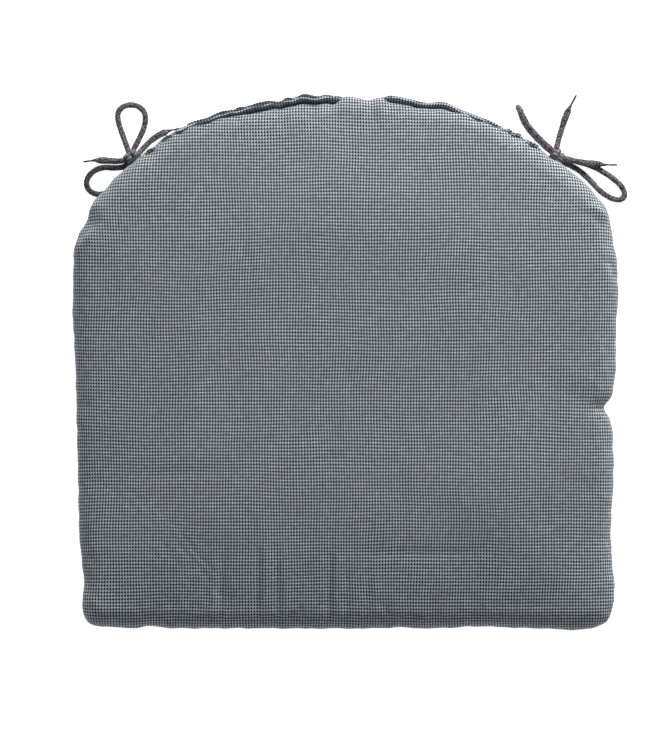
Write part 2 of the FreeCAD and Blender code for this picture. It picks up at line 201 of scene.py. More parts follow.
WEAVE_WIDE, WEAVE_DEEP = 2.61, 3.12  # one repeat of the weave, across and along the pad
WEAVE_WANDER = 6.0  # how far its rows and columns stray
THREAD = (0.318, 0.352, 0.392)  # the yarn, a little paler where it stands in a rib
RIB = tuple(1.06 * tone for tone in THREAD)
LOBE = (0.760, 0.835, 0.900)
# the gaps' near-black: painted shade inside the weave's open holes
HOLE_PAINTED_SHADE = (0.002, 0.003, 0.005)


def blob(across, along, turn, long, wide):
    """1 in the middle of an ellipse, 0 outside it; across and along are lengths from its middle."""
    c, s = math.cos(math.radians(turn)), math.sin(math.radians(turn))
    first = across * (c / long) + along * (s / long)
    second = along * (c / wide) - across * (s / wide)
    return (first.do("POWER", 2.0) + second.do("POWER", 2.0)).ramp(1.0, 0.55)


def fabric_material():
    """Heather grey open weave: dark round gaps in rows, with a light slanting yarn beside each."""
    tree = Tree("cover_fabric")
    cloth = tree.uv("cloth")
    x, y, _ = tree.split(cloth)
    x += (tree.noise(cloth, 11.0, 1.0) - 0.5) * (WEAVE_WANDER * MM)
    y += (tree.noise(cloth + (3.1, 1.7, 0.0), 9.0, 1.0) - 0.5) * (WEAVE_WANDER * MM)
    column, row = x / (WEAVE_WIDE * MM), y / (WEAVE_DEEP * MM)
    cell = tree.join(column.do("FLOOR"), row.do("FLOOR"))
    luck, luck_two = tree.chance(cell), tree.chance(cell + (7.3, 2.9, 5.0))
    across = (column.do("FRACT") - 0.5) * WEAVE_WIDE
    along = (row.do("FRACT") - 0.5) * WEAVE_DEEP
    gap = blob(across, along, 60.0, 1.32, 0.93)
    # the slanting yarn sits up and to the right of the gap, so it is drawn in all four neighbours
    lobes = None
    for side in (0.5, -0.5):
        for end in (0.5, -0.5):
            shifted = across - (side + 0.02) * WEAVE_WIDE, along - (end - 0.20) * WEAVE_DEEP
            one = blob(*shifted, 54.0, 1.62, 0.66)
            lobes = one if lobes is None else lobes.do("MAXIMUM", one)
    fibres = tree.noise(tree.join(x - y * 0.8, y + x) * (5200.0, 900.0, 1.0), 1.0, 2.0, 0.6)
    rib = along.do("ABSOLUTE").ramp(0.2, 0.5 * WEAVE_DEEP)
    heather = tree.noise(cloth * (160.0, 900.0, 1.0), 1.0, 3.0, 0.6)
    shade = heather.ramp(0.3, 0.7, -0.16, 0.16) + fibres.ramp(0.3, 0.7, -0.14, 0.14)
    light = shade + luck.ramp(0.0, 1.0, -0.10, 0.10, False) + 1.0
    colour = tree.mix(lobes * luck_two.ramp(0.0, 1.0, 0.55, 1.0, False), tree.mix(rib, THREAD, RIB), LOBE)
    colour = tree.mix(1.0, colour, tree.join(light, light, light), "MULTIPLY")
    # painted shade: the weave's open gaps are painted near-black
    colour = tree.mix(gap * luck.ramp(0.0, 1.0, 0.90, 1.0, False), colour, HOLE_PAINTED_SHADE)
    height = lobes * 0.55 + rib * 0.18 + fibres * 0.22 - gap
    return tree.finish(
        colour, fibres.ramp(0.2, 0.8, 0.72, 0.92), height, 0.45, 0.7, Sheen_Weight=0.12,
        Sheen_Roughness=0.45, Specular_IOR_Level=0.22,
    )


# ---- the other materials

BRAID_SIDES = 32
BRAID_YARNS = 8  # yarns that wind each way round a tie
BRAID_STEP = 2.9  # how far apart they are along it


def cord_material(name, painted_dimming=1.0):
    """Braided polyester: dark purple-grey yarns with paler flecks."""
    tree = Tree(name)
    braid = tree.uv("braid")
    around, along, _ = tree.split(braid)
    one, two = around + along, around - along
    first, second = one.do("FLOOR"), two.do("FLOOR")
    over = (first + second).do("ABSOLUTE").do("MODULO", 2.0)
    fleck = tree.chance(tree.join(first + 0.5, second + 0.5, over))
    streak = tree.noise(braid * (9.0, 3.0, 1.0), 3.0, 3.0, 0.65)
    mixed = fleck * 0.42 + tree.noise(braid, 1.9, 1.0).ramp(0.44, 0.56) * 0.58
    mixed += streak.ramp(0.3, 0.7, -0.12, 0.12)
    # a factor below 1 darkens the whole cord: painted shade for the copies laid where the tie is shaded
    dark, pale = [tuple(painted_dimming * v for v in tone) for tone in ((0.012, 0.011, 0.014), (0.430, 0.392, 0.428))]
    colour = tree.mix(mixed.ramp(0.22, 0.88), dark, pale)
    # painted shade: the cord darkens to near-black in the grooves between its yarns
    edge = one.do("FRACT").do("PINGPONG", 0.5).do("MINIMUM", two.do("FRACT").do("PINGPONG", 0.5))
    colour = tree.mix(edge.ramp(0.16, 0.0, 0.0, 0.8), colour, (0.010, 0.009, 0.011))
    return tree.finish(
        colour, streak.ramp(0.3, 0.7, 0.62, 0.85), streak + edge.ramp(0.0, 0.2), 0.25, 0.6,
        Sheen_Weight=0.08, Sheen_Roughness=0.4, Specular_IOR_Level=0.25,
    )


def tip_material():
    """Melted and drawn polyester: dark, a little shiny, ridged along its length."""
    tree = Tree("sealed_tip")
    ridges = tree.noise(tree.place(), 2600.0, 3.0)
    mottle = tree.noise(tree.place(), 700.0).ramp(0.35, 0.65)
    colour = tree.mix(mottle, (0.012, 0.011, 0.013), (0.050, 0.045, 0.052))
    return tree.finish(colour, ridges.ramp(0.3, 0.7, 0.34, 0.55), ridges, 0.12, 0.6)


def tape_material():
    """Zip tape: a tight herringbone of fine yarns."""
    tree = Tree("zip_tape_weave")
    x, y, z = tree.split(tree.place())
    around = x.do("ARCTAN2", y + 171.0 * MM) * 420.0
    stripe = (z * 1000.0 * 2.4 + around.do("PINGPONG", 2.0)).do("PINGPONG", 0.5)
    fuzz = tree.noise(tree.place(), 1800.0, 3.0)
    colour = tree.mix(stripe.ramp(0.05, 0.45), (0.030, 0.032, 0.036), (0.105, 0.108, 0.116))
    colour = tree.mix(fuzz.ramp(0.35, 0.7, 0.0, 0.4), colour, (0.15, 0.155, 0.165))
    return tree.finish(colour, fuzz.ramp(0.3, 0.7, 0.7, 0.9), stripe, 0.15, 0.7)


def coil_material():
    """Nylon monofilament: dark grey, smooth, faintly mottled."""
    tree = Tree("nylon_coil")
    mottle = tree.noise(tree.place(), 900.0, 2.0)
    colour = tree.mix(mottle.ramp(0.3, 0.7), (0.035, 0.036, 0.040), (0.075, 0.077, 0.083))
    return tree.finish(colour, mottle.ramp(0.3, 0.7, 0.28, 0.42), mottle, 0.05, 0.4)


def metal_material():
    """Die-cast zip metal with a gunmetal finish, worn paler where it rubs."""
    tree = Tree("gunmetal")
    grain = tree.noise(tree.place() * (700.0, 700.0, 6000.0), 1.0, 3.0)
    wear = tree.noise(tree.place(), 260.0, 4.0, 0.65)
    colour = tree.mix(wear.ramp(0.45, 0.68), (0.17, 0.17, 0.18), (0.42, 0.41, 0.40))
    return tree.finish(colour, grain.ramp(0.25, 0.75, 0.26, 0.48), grain + wear, 0.05, 0.5, Metallic=1.0)


def thread_material():
    """Dense zigzag stitching in polyester thread."""
    tree = Tree("sewing_thread")
    x, _, z = tree.split(tree.place())
    strand = (x * 900.0 + z * 260.0).do("PINGPONG", 0.5)
    twist = tree.noise(tree.place(), 3000.0, 2.0)
    colour = tree.mix(strand.ramp(0.05, 0.4), (0.020, 0.021, 0.024), (0.13, 0.135, 0.145))
    return tree.finish(colour, twist.ramp(0.3, 0.7, 0.55, 0.75), strand + twist * 0.3, 0.25, 0.8)


def foam_material():
    """Open-cell polyurethane foam, pale cream and pitted."""
    tree = Tree("open_cell_foam")
    pits = tree.cells(tree.place(), 620.0)
    age = tree.noise(tree.place(), 14.0, 3.0).ramp(0.35, 0.7)
    colour = tree.mix(age, (0.80, 0.74, 0.55), (0.70, 0.60, 0.38))
    # painted shade: the colour darkens in the pits of the open cells
    colour = tree.mix(pits.ramp(0.45, 0.1, 0.0, 0.55), colour, (0.34, 0.28, 0.16))
    return tree.finish(colour, pits.ramp(0.1, 0.6, 0.98, 0.86), pits, 0.8, 0.8)


def wadding_material():
    """Lofty polyester fibre: white, with long tangled strands."""
    tree = Tree("fibre_wadding")
    tangle = tree.noise(tree.place() * (900.0, 240.0, 500.0), 1.0, 5.0, 0.7)
    cross = tree.noise(tree.place() * (220.0, 1000.0, 480.0), 1.0, 5.0, 0.7)
    strands = tangle.do("MAXIMUM", cross)
    colour = tree.mix(strands.ramp(0.40, 0.75), (0.62, 0.64, 0.67), (0.90, 0.91, 0.92))
    return tree.finish(colour, strands.ramp(0.4, 0.7, 0.95, 0.8), strands, 1.2, 0.9, Sheen_Weight=0.3)


def floor_material():
    """A plain white studio table, lit a little from below as a product table is."""
    tree = Tree("white_table")
    grain = tree.noise(tree.place(), 6.0, 2.0)
    colour = tree.mix(grain.ramp(0.3, 0.7), (0.86, 0.86, 0.86), (0.89, 0.89, 0.89))
    return tree.finish(
        colour, grain.ramp(0.3, 0.7, 0.75, 0.85), Specular_IOR_Level=0.1,
        Emission_Color=(1.0, 1.0, 1.0, 1.0), Emission_Strength=0.90,
    )


# ---- meshes

def make_piece(name, points, faces, material, slot=None, replaces=(), smooth=True):
    """An object from points in millimetres, riding on the pad."""
    mesh = bpy.data.meshes.new(name)
    mesh.from_pydata((np.asarray(points, float) * MM).tolist(), [], faces)
    if smooth:
        mesh.shade_smooth()
    mesh.materials.append(material)
    piece = bpy.data.objects.new(name, mesh)
    bpy.context.scene.collection.objects.link(piece)
    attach(piece, ROOT)
    if replaces:
        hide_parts(*replaces)
    return piece


def read_vertices(mesh, what):
    values = np.zeros(len(mesh.vertices) * 3)
    mesh.vertices.foreach_get(what, values)
    return values.reshape(-1, 3)


def write_uv(mesh, name, places):
    """A UV map with one place for each vertex, or for each face corner."""
    layer = mesh.uv_layers.new(name=name)
    places = np.asarray(places, float)
    if len(places) == len(mesh.vertices):
        corners = np.zeros(len(mesh.loops), int)
        mesh.loops.foreach_get("vertex_index", corners)
        places = places[corners]
    layer.data.foreach_set("uv", places.astype(np.float32).ravel())


def bands(rings, sides):
    """The quads between each closed ring of points and the next."""
    faces = []
    for ring in range(rings - 1):
        for side in range(sides):
            after = (side + 1) % sides
            here, there = ring * sides, (ring + 1) * sides
            faces.append((here + side, here + after, there + after, there + side))
    return faces


def tube_faces(rings, sides):
    ends = [tuple(reversed(range(sides))), tuple(range((rings - 1) * sides, rings * sides))]
    return bands(rings, sides) + ends


def flipped(faces):
    return [tuple(reversed(face)) for face in faces]


def lengths_along(line):
    """How far along an open line each of its points is."""
    return np.concatenate([[0], np.cumsum(np.linalg.norm(np.diff(line, axis=0), axis=1))])


# ---- the ties

CORD = 5.0  # the tie's diameter
TIP = 1.9  # a drawn tip's diameter
BRAID_RELIEF, BRAID_LEVEL = 0.8, 0.72  # how deep the braid is, and which part of it is at the radius
TIE_RING = 0.42  # how far apart the rings of points along a tie are
LOWEST = 0.05  # how far above the table a tie or a tip stays
KNOTS = {"left": (-200.8, 188.9, 8.3), "right": (197.8, 193.5, 8.3)}
DIAGONAL = math.radians(37.0)  # which way the edge faces where the ties are sewn in
ANCHOR = (196.5, 188.8, 27.5)
STEM = [(2.15, 0), (5.65, -1), (7.15, -6), (6.65, -11.5), (5.15, -16)]  # outwards, up
STRAND_SPACING = 6.0

# Each strand leaves the seam, goes down into the knot, out and back in a loop, and out as a tail.
LOOPS = {
    "left_tie_1": [
        (-201.5, 192, 12), (-202.8, 198, 8.5), (-207.5, 211, 3.2), (-212, 223.5, 2.6),
        (-213.5, 234, 2.6), (-206.5, 241, 2.6), (-194.5, 241, 2.6), (-186.5, 233.5, 2.6),
        (-187, 222, 2.6), (-192, 210.5, 2.6), (-198, 199.5, 3), (-199.5, 193, 4.5),
    ],
    "left_tie_2": [
        (-205, 183, 8.5), (-215, 181.6, 3), (-226, 182.8, 2.6), (-236, 179.3, 2.6),
        (-243, 170.5, 2.6), (-240.5, 160.5, 2.6), (-231, 156.3, 2.6), (-221.5, 159.5, 2.6),
        (-213, 168, 2.6), (-206.5, 175, 2.8), (-202, 182, 3.2),
    ],
    "right_tie_1": [
        (193.5, 196.5, 6.5), (186, 203.5, 3.2), (177, 212.2, 2.6), (169.5, 221.5, 2.6),
        (165.8, 229.5, 2.6), (163.7, 236.4, 2.6), (161.6, 239.2, 8.7), (163.2, 236.8, 14.7),
        (166.5, 230, 15), (170.5, 221.8, 14.5), (178, 213.2, 13.5), (187, 204.2, 13),
        (194.5, 197.8, 12.8),
    ],
    "right_tie_2": [
        (202.5, 187, 6), (212, 184, 3.2), (221, 178.5, 2.6), (230.5, 169.5, 2.6),
        (239.5, 159.5, 2.6), (250, 153, 2.6), (258.5, 151.5, 2.6), (263, 156.5, 2.6),
        (260, 164, 2.6), (254, 170, 2.6), (246.5, 175.5, 2.6), (237.5, 181, 2.6),
        (227.5, 185.2, 2.7), (216, 188.2, 3.2), (206.5, 190.5, 4.5),
    ],
}
TAILS = {
    "left_tie_1": [(-205, 189, 10), (-213, 187.8, 4.5), (-224, 189.1, 3.1), (-234.8, 189, 3)],
    "left_tie_2": [
        (-196, 192, 9), (-190, 199, 4.8), (-181.5, 208, 3.1), (-173, 213.8, 3),
        (-164.4, 216.8, 3),
    ],
    "right_tie_1": [
        (201.5, 191.5, 12.5), (211, 189.3, 10.6), (221.5, 187, 8.6), (232.5, 185.7, 8.2),
        (242.5, 184.8, 5.8),
    ],
    "right_tie_2": [
        (197.5, 197.5, 8), (200, 208, 4.5), (203.5, 219.5, 3.1), (206.5, 229.5, 3),
        (210.8, 239, 3),
    ],
}
TIPS = {
    "left_tie_1": (-245.3, 187.7, 1.5), "left_tie_2": (-153.5, 219.2, 1.8),
    "right_tie_1": (255.5, 184.7, 2.2), "right_tie_2": (217, 250.3, 1.6),
}
# where each strand passes the middle of its knot, before its loop and after it: along, out, up
PASSES = {
    "left_tie_1": [(-1.5, 0.5, 2.2), (0.5, 0.8, -1.6)],
    "left_tie_2": [(-2.0, -1.2, 0.8), (1.5, -1.0, -2.0)],
    "right_tie_1": [(-1.0, 0.6, -1.8), (0.5, 0.6, 2.4)],
    "right_tie_2": [(1.0, -0.8, -1.4), (0.5, 0.2, 0.8)],
}


def tie_axes(side):
    """Unit vectors along the edge, out from it and up, where this side's tie is sewn in."""
    out = Vector((side * math.sin(DIAGONAL), math.cos(DIAGONAL), 0))
    return Vector((out.y, -out.x, 0)), out, Vector((0, 0, 1))


def smooth_line(name, points):
    """The points of a smooth open spline with these control points, in millimetres."""
    data = bpy.data.curves.new(name, "CURVE")
    data.dimensions = "3D"
    data.resolution_u = 24
    spline = data.splines.new("NURBS")
    spline.points.add(len(points) - 1)
    for place, point in zip(spline.points, points):
        place.co = (*(Vector(point) * MM), 1.0)
    spline.order_u = 3
    spline.use_endpoint_u = True
    carrier = bpy.data.objects.new(name, data)
    bpy.context.scene.collection.objects.link(carrier)
    mesh = bpy.data.meshes.new_from_object(carrier)
    line = np.array([vertex.co for vertex in mesh.vertices]) / MM
    bpy.data.objects.remove(carrier)
    bpy.data.curves.remove(data)
    bpy.data.meshes.remove(mesh)
    return line


def evenly(line, step):
    """The line again, as points this far apart."""
    lengths = lengths_along(line)
    count = max(4, int(round(lengths[-1] / step)) + 1)
    stations = np.linspace(0, lengths[-1], count)
    return np.column_stack([np.interp(stations, lengths, line[:, axis]) for axis in range(3)]), stations


def frames_along(line):
    """For each point, two unit vectors across the line that don't twist."""
    tangents = np.gradient(line, axis=0)
    tangents /= np.linalg.norm(tangents, axis=1)[:, None]
    normal = np.cross(tangents[0], (0.0, 0.0, 1.0))
    if np.linalg.norm(normal) < 0.1:
        normal = np.cross(tangents[0], (1.0, 0.0, 0.0))
    normals = []
    for tangent in tangents:
        normal = normal - tangent * np.dot(normal, tangent)
        normal /= np.linalg.norm(normal)
        normals.append(normal)
    normals = np.array(normals)
    return normals, np.cross(tangents, normals)


def spokes(line, sides):
    """Unit vectors outwards from a line, this many round each of its points."""
    across, upwards = frames_along(line)
    angles = 2 * np.pi * np.arange(sides)[None, :, None] / sides
    return across[:, None, :] * np.cos(angles) + upwards[:, None, :] * np.sin(angles)


def braid_height(around, along):
    """How proud the braid stands: yarns wind both ways, each over one and under the next."""
    first = around + along
    second = around - along
    over = (np.floor(first) + np.floor(second)) % 2

    def top(own, other):
        return np.sin(np.pi * (own % 1.0)) ** 0.7 * (1.0 - 0.35 * np.cos(np.pi * (other % 1.0)) ** 2)

    return np.where(over > 0.5, top(first, second), top(second, first))


def braided_tube(name, line, radii, material, seed=0.0, **options):
    """A round braid along a line of points, with a radius for each point."""
    sides = BRAID_SIDES
    around = np.broadcast_to(np.arange(sides) / sides * BRAID_YARNS, (len(line), sides))
    along = np.broadcast_to((lengths_along(line) / BRAID_STEP + seed)[:, None], (len(line), sides))
    relief = BRAID_RELIEF * (braid_height(around, along) - BRAID_LEVEL)
    reach = radii[:, None] * (1 + relief / (CORD / 2))
    points = line[:, None, :] + spokes(line, sides) * reach[:, :, None]
    points[:, :, 2] = np.maximum(points[:, :, 2], LOWEST)
    faces = tube_faces(len(line), sides)
    piece = make_piece(name, points.reshape(-1, 3), faces, material, **options)
    corners = []
    for ring in range(len(line) - 1):
        for side in range(sides):
            here, there = along[ring, 0], along[ring + 1, 0]
            first, last = side * BRAID_YARNS / sides, (side + 1) * BRAID_YARNS / sides
            corners += [(first, here), (last, here), (last, there), (first, there)]
    for ring in (0, len(line) - 1):
        corners += [(side * BRAID_YARNS / sides, along[ring, 0]) for side in range(sides)]
    write_uv(piece.data, "braid", corners)
    return piece


def strand_route(name, side, strand):
    """The control points of one strand: stem, knot, loop, knot and tail."""
    along, out, up = tie_axes(side)
    start = Vector((side * ANCHOR[0], ANCHOR[1], ANCHOR[2])) + along * (strand * STRAND_SPACING / 2)
    stem = [start + out * distance + up * rise for distance, rise in STEM]
    word = "left" if side < 0 else "right"
    middle = Vector(KNOTS[word])
    passes = [middle + along * a + out * o + up * u for a, o, u in PASSES[name]]
    return [*stem, passes[0], *LOOPS[name], passes[1], *TAILS[name]]


def tip_piece(name, start, end, material):
    """The drawn and sealed end of a tail: a thin spike that swells slightly at its own end."""
    start, end = Vector(start), Vector(end)
    sides, rings = 12, 26
    along = end - start
    line = np.array([start + along * (-0.08 + 1.08 * ring / (rings - 1)) for ring in range(rings)])
    points = []
    for ring, (place, outwards) in enumerate(zip(line, spokes(line, sides))):
        share = ring / (rings - 1)
        radius = TIP / 2 * (1.75 - 0.95 * min(1.0, share * 3.2) + 0.25 * share)
        if share > 0.93:
            radius *= 0.80 - 3.5 * (share - 0.93)
        for side, spoke in enumerate(outwards):
            lump = 1.0 + 0.12 * noise.noise(Vector(place) * 1.3 + Vector((side * 0.7, 0, 0)))
            twist = 1.0 + 0.08 * math.sin(6 * math.pi * side / sides + share * 14.0)
            points.append(place + spoke * radius * lump * twist)
    points = np.array(points)
    points[:, 2] = np.maximum(points[:, 2], LOWEST)
    return make_piece(
        f"{name}_tip_spike", points, tube_faces(rings, sides), material, slot="cord_tip",
        replaces=[f"{name}_tip"],
    )


def knot_piece(word, side, material):
    """The windings of a bow's knot: the cord goes nearly twice round the strands that pass through."""
    along, out, up = tie_axes(side)
    middle = Vector(KNOTS[word])
    turns, start = (1.9, 200.0) if side < 0 else (1.35, 150.0)
    points = []
    steps = int(turns * 8)
    for step in range(steps + 1):
        share = step / steps
        angle = math.radians(start + 360.0 * turns * share)
        spread = (share - 0.5) * 4.6 * turns
        tuck = 0.55 if step in (0, steps) else 1.0
        reach = out * math.cos(angle) * 5.1 * tuck + up * math.sin(angle) * 5.2 * tuck
        points.append(middle + along * spread + reach)
    line, _ = evenly(smooth_line(f"{word}_knot_line", points), 0.45)
    radii = np.full(len(line), CORD / 2 * 0.92)
    return braided_tube(
        f"{word}_bow_knot_winding", line, radii, material, seed=0.3, slot="cord",
        replaces=[f"{word}_bow_knot"],
    )


def make_ties():
    tip = tip_material()
    cord = cord_material("tie_cord")
    # painted shade: darker copies of the cord, for the left bow's lower loop and, darker still, for the
    # knots' windings
    shaded, deep = cord_material("tie_cord_painted_shade", 0.5), cord_material("tie_cord_knot_painted_shade", 0.32)
    for word, side in (("left", -1), ("right", 1)):
        knot = knot_piece(word, side, deep)
        for strand, offset in ((1, -1), (2, 1)):
            name = f"{word}_tie_{strand}"
            curve = smooth_line(name + "_line", strand_route(name, side, offset))
            line, stations = evenly(curve, TIE_RING)
            length = stations[-1]
            left = length - stations
            # the braid loosens near the end of the tail, and then closes on the tip
            radii = CORD / 2 + 0.14 + 0.5 * np.exp(-(((left - 9.0) / 9.0) ** 2))
            radii *= np.interp(left, [0.0, 1.2, 4.5], [0.32, 0.62, 1.0])
            radii *= 1.0 + 0.03 * np.sin(stations * 0.55 + side + strand)
            spike = tip_piece(name, line[-1], TIPS[name], tip)
            nodes = [f"{name}_{part}" for part in ("stem", "loop", "tail")]
            piece = braided_tube(
                f"{name}_braid", line, radii, cord, seed=0.37 * strand, slot="cord", replaces=nodes,
            )
            piece.data.materials.append(shaded)
            # painted shade: the left bow's lower loop gets the darker copy of the cord, for the bow's own
            # shade
            lower_loop = (line[:, 0] < -200) & (line[:, 1] < 184.5)
            for face in piece.data.polygons:
                ring = min(face.vertices[0] // BRAID_SIDES, len(line) - 1)
                face.material_index = int(lower_loop[ring])


# ---- the pad's outline

PAD_WIDE = (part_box("cover_top_panel")[1].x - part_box("cover_top_panel")[0].x) / MM
PAD_DEEP = (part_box("cover_top_panel")[1].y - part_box("cover_top_panel")[0].y) / MM
ARCH_RADIUS, ARCH_HALF = 420.0, 20.0
BLEND_RADIUS, SHOULDER_RADIUS, CORNER_RADIUS = 90.0, 98.0, 26.0
DIAGONAL_HEADING, SIDE_TAPER = 37.0, 1.3
ARCH_CENTRE = np.array([0.0, PAD_DEEP / 2 - ARCH_RADIUS])
SEAM = 27.5  # the height of the seam that joins the two panels
COLUMNS = 520  # vertical strips round the edge

SWELL_REACH = 26.0  # how far in a swell of the edge dies away
# Where the stuffed edge swells out of its cut outline or draws in: at, how far, over what length
SWELLS = [
    ((20, 248.5), -2.2, 8), ((48, 246.5), 2.2, 14), ((95, 238), 3.6, 12), ((150, 221), -2.7, 22),
    ((243, 142), 2.0, 9), ((252, 114), -2.2, 13), ((253, 62), 2.0, 25), ((252, 2), 1.2, 18),
    ((251, -43), -5.0, 5.5), ((251, -44), -4.4, 13), ((249, -110), 1.8, 26), ((247, -215), 4.6, 34),
    ((241, -240), 1.5, 8), ((207, -249), 1.2, 16), ((124, -249), -1.8, 27), ((50, -249), -1.2, 12),
    ((-181, -249), -2.2, 12), ((-222, -249), -1.8, 13), ((-239, -241), 2.4, 8),
    ((-247, -205), -3.3, 24), ((-253, 45), 1.8, 26), ((-252, 114), -1.6, 9), ((-246, 134), -5.8, 12),
    ((-228, 161), -4.2, 20), ((-214, 175), -1.0, 10), ((-36, 247.5), 1.8, 10),
]


def heading(angle):
    turn = math.radians(angle)
    return np.array([math.sin(turn), math.cos(turn)])


def cut_outline(step=0.5):
    """The pattern piece's outline from the middle of the back, clockwise from above, with normals."""
    blend = ARCH_CENTRE + heading(ARCH_HALF) * (ARCH_RADIUS - BLEND_RADIUS)
    normal = heading(DIAGONAL_HEADING)
    on_diagonal = blend + normal * BLEND_RADIUS
    shoulder_x = PAD_WIDE / 2 - SHOULDER_RADIUS
    across = normal[0] * (shoulder_x - on_diagonal[0])
    shoulder = np.array([shoulder_x, on_diagonal[1] - (SHOULDER_RADIUS + across) / normal[1]])
    corner_y = CORNER_RADIUS - PAD_DEEP / 2
    taper = math.radians(SIDE_TAPER)
    lean = math.sin(taper) * (corner_y - shoulder[1])
    corner_x = shoulder_x + (SHOULDER_RADIUS - CORNER_RADIUS + lean) / math.cos(taper)
    corner = np.array([corner_x, corner_y])
    side = 90.0 + SIDE_TAPER
    points = []

    def arc(centre, radius, first, last):
        count = int(radius * math.radians(last - first) / step)
        for angle in np.linspace(first, last, count, endpoint=False):
            points.append((*(centre + heading(angle) * radius), *heading(angle)))

    def line(first, last, facing):
        count = int(np.linalg.norm(last - first) / step)
        for share in np.linspace(0, 1, count, endpoint=False):
            points.append((*(first + (last - first) * share), *heading(facing)))

    arc(ARCH_CENTRE, ARCH_RADIUS, 0, ARCH_HALF)
    arc(blend, BLEND_RADIUS, ARCH_HALF, DIAGONAL_HEADING)
    line(on_diagonal, shoulder + normal * SHOULDER_RADIUS, DIAGONAL_HEADING)
    arc(shoulder, SHOULDER_RADIUS, DIAGONAL_HEADING, side)
    line(shoulder + heading(side) * SHOULDER_RADIUS, corner + heading(side) * CORNER_RADIUS, side)
    arc(corner, CORNER_RADIUS, side, 180)
    line(corner + heading(180) * CORNER_RADIUS, np.array([0, -PAD_DEEP / 2]), 180)
    right = np.array(points)
    left = right[1:][::-1] * np.array([-1, 1, -1, 1])
    return np.vstack([right, [[0, -PAD_DEEP / 2, 0, -1]], left])


def lengths_round(points):
    """How far round a closed ring each point is, and the way back to the first."""
    steps = np.linalg.norm(np.roll(points, -1, axis=0) - points, axis=1)
    return np.concatenate([[0], np.cumsum(steps)])


class Rim:
    """The stuffed edge, column by column: place, outward normal, and how open the zip's lips are."""

    def __init__(self, columns):
        cut = cut_outline()
        places, normals = cut[:, :2], cut[:, 2:]
        around = lengths_round(places)
        total = around[-1]
        swell = np.zeros(len(places))
        for spot, reach, width in SWELLS:
            nearest = np.argmin(np.linalg.norm(places - np.array(spot), axis=1))
            away = np.abs(around[:-1] - around[nearest])
            away = np.minimum(away, total - away)
            swell += reach * np.exp(-((away / width) ** 2))
        stations = np.linspace(0, total, columns, endpoint=False)
        wrapped = np.column_stack([places, normals, swell])
        wrapped = np.vstack([wrapped, wrapped[:1]])
        here = np.column_stack([np.interp(stations, around, wrapped[:, k]) for k in range(5)])
        self.cut, self.swell = here[:, :2], here[:, 4]
        self.normal = here[:, 2:4] / np.linalg.norm(here[:, 2:4], axis=1)[:, None]
        self.place = self.cut + self.normal * self.swell[:, None]
        # which part of the back edge each column is in; the front and sides are far off the scale
        self.x = np.where(self.place[:, 1] > 150, self.place[:, 0], 999.0)
        self.groove = groove_openness(self.x)
        self.zipped = ramp(self.x, -156, -144) * ramp(self.x, 150, 139)
        self.pucker = pucker_waves(stations, total)

    def at(self, depths):
        """Places this far in from the stuffed edge; a swell or a tuck dies away inwards."""
        reach = self.swell[:, None] * np.exp(-((np.maximum(depths, 0) / SWELL_REACH) ** 2)) - depths
        return self.cut[:, None, :] + self.normal[:, None, :] * reach[:, :, None]


def ramp(value, low, high):
    """0 at low, 1 at high, smooth between; low may be the larger."""
    share = np.clip((value - low) / (high - low), 0.0, 1.0)
    return share * share * (3 - 2 * share)


def groove_openness(x):
    """How far the cover stands back from the zip's lips along the back edge, from 0 to 1."""
    left = ramp(x, -166, -112) * 0.55 + ramp(x, -120, -70) * 0.45
    left *= ramp(x, 1, -12)
    right = ramp(x, 31, 43) * (0.64 + 0.12 * np.sin(x / 7.0)) * ramp(x, 110, 100)
    patch = 0.45 * np.exp(-(((x - 125) / 6.0) ** 2)) + 0.12 * ramp(x, 108, 116) * ramp(x, 160, 140)
    # beyond the zip's ends the seam still gapes a little, in short puckers, as far as the ties
    seam = 0.22 + 0.10 * np.sin(x / 2.3) + 0.08 * np.sin(x / 4.9 + 1.0)
    beyond_left = ramp(x, -212, -200) * ramp(x, -150, -166)
    beyond_right = 0.7 * ramp(x, 140, 158) * ramp(x, 204, 192)
    return left + right + patch + seam * (beyond_left + beyond_right)


def pucker_waves(around, total):
    """Uneven small gathers along a seam, from -1 to 1; they close up over the whole way round."""
    turn = 2 * np.pi * around / total
    waves = 0.5 * np.sin(61 * turn + 1.3 * np.sin(7 * turn))
    waves += 0.35 * np.sin(97 * turn + 2.0 * np.sin(5 * turn + 1))
    return waves + 0.25 * np.sin(151 * turn + 1.7 * np.sin(11 * turn))


# ---- the cover panels

EDGE_DEPTH, LOWER_EDGE_DEPTH = 40.0, 33.0  # how far in from the edge each panel rounds over
HEM_RISE = 2.2  # how far from its sewn line, up or down, a panel starts to round
STRIP_DEPTH = 17.0  # how far in the regular strip round the edge reaches
STRIP_ROWS = 13
CROWN_START, CROWN_REACH = 12.0, 130.0  # how far in the top starts its rise, and ends it
CROWN_INSET = 60.0  # a layer this far inside would have no crown
GRID = 4.4  # spacing of the mesh inside the strip
TOP_RIM, TOP_CROWN = 48.5, 8.3  # the height that the top rounds over to, and its rise from there
FLAT_BASE = 0.25  # the height of the bottom panel's flat part
# the gathers along a seam: their depth, the row they are deepest in, their spread, what a groove adds
GATHER_DEPTH, GATHER_ROW, GATHER_SPREAD, GATHER_MORE = 0.55, 3.5, 0.28, 0.8
ROUNDING = 2.5  # the exponent of the rounded edge: 2 is a circle, more is squarer
UPPER_LEVEL, LOWER_LEVEL = 34.9, 20.9  # where the panels meet the zip's upper and lower lips


